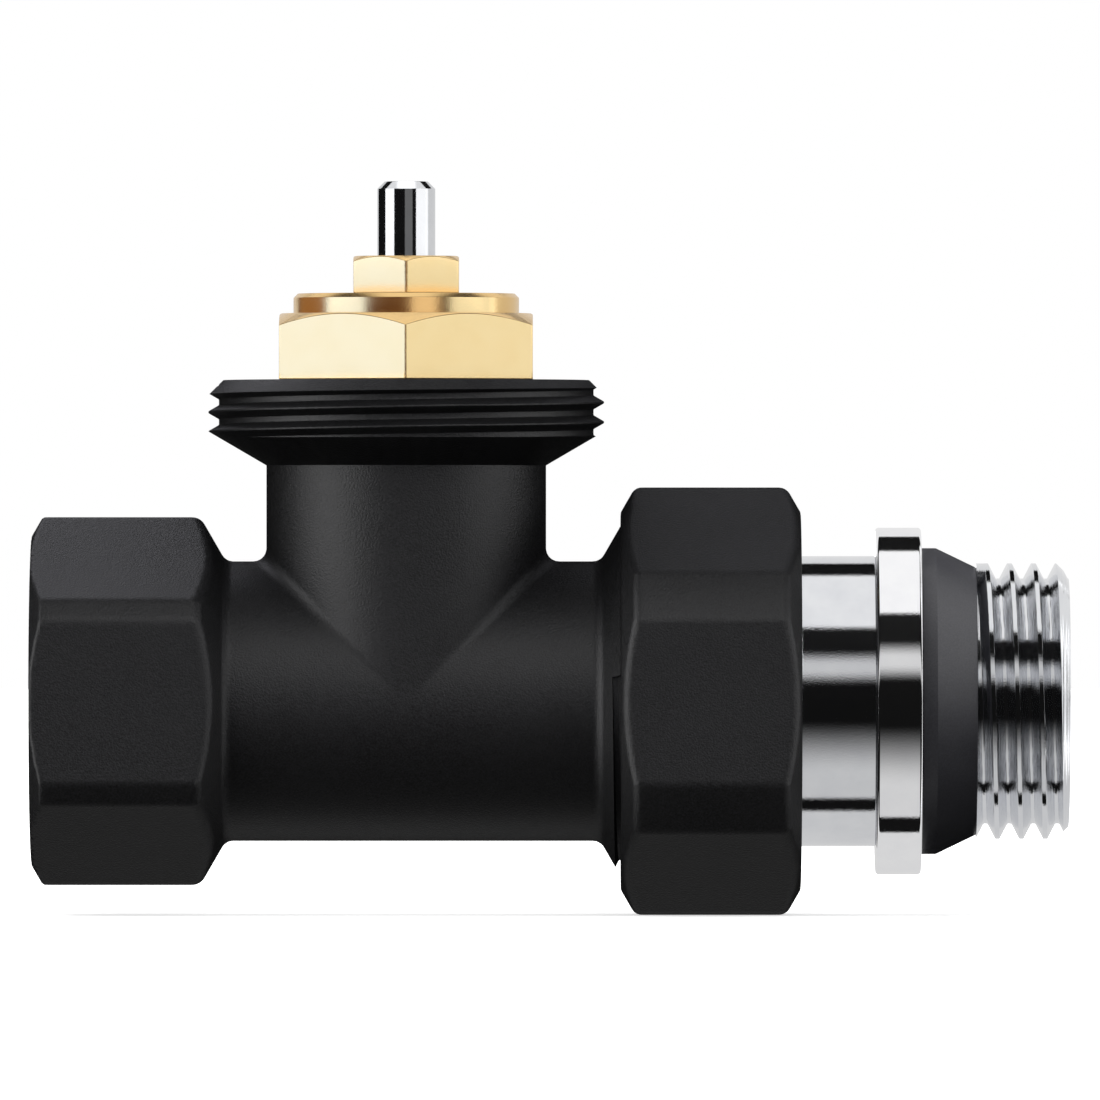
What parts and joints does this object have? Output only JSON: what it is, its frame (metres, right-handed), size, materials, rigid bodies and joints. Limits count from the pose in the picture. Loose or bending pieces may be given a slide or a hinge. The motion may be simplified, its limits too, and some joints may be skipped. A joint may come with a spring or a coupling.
{
  "type": "thermostatic radiator valve",
  "caption": "Straight black valve body with a brass insert, a sprung push pin, a threaded head collar and a chrome outlet union with a conical seal.",
  "frame": {"origin": "centre of the inlet face, on the run axis", "axes": "+X along the run towards the radiator, +Z along the insert and its push pin, +Y completes a right-handed frame"},
  "size_m": [0.0786, 0.03, 0.0556],
  "materials": {
    "black_coat": "matt powder coat with a fine grain",
    "brass": "turned, satin",
    "bright_steel": "ground and polished",
    "chrome": "bright plated",
    "seal_rubber": "smooth moulded",
    "o_ring_rubber": "smooth moulded",
    "white_plastic": "matt"
  },
  "bodies": {
    "valve": {"valve_body": "black_coat", "insert_housing": "brass", "insert_o_ring": "o_ring_rubber", "gland_nut": "brass", "gland_o_ring": "o_ring_rubber", "stem_o_ring": "o_ring_rubber", "stem_washer": "white_plastic", "lower_guide": "brass", "return_spring": "bright_steel"},
    "stem": {"push_pin": "bright_steel", "spindle": "bright_steel", "spring_plate": "bright_steel", "spring_clip": "bright_steel", "disc_plate": "brass", "disc_seal": "o_ring_rubber", "disc_washer": "bright_steel", "disc_nut": "brass"},
    "tail": {"tailpiece": "chrome", "nose_o_ring": "o_ring_rubber", "stop_ring": "chrome", "cone_seal": "seal_rubber"},
    "nut": {"union_nut": "black_coat"}
  },
  "joints": [
    {"name": "pin_press", "type": "slide", "parent": "valve", "child": "stem", "axis": [0, 0, -1], "range_m": [0, 0.003], "stiffness_N_per_m": 4000, "springref_m": -0.004, "deforming": ["return_spring"]},
    {"name": "union_withdraw", "type": "slide", "parent": "valve", "child": "tail", "axis": [1, 0, 0], "range_m": [0, 0.01089]},
    {"name": "union_nut_turn", "type": "hinge", "parent": "tail", "child": "nut", "pos_m": [0.0515, 0, 0], "axis": [1, 0, 0], "range_deg": [0, 2160]}
  ],
  "couplings": [
    {"joint": "union_withdraw", "follows": "union_nut_turn", "m_per_rad": 0.00028871}
  ]
}
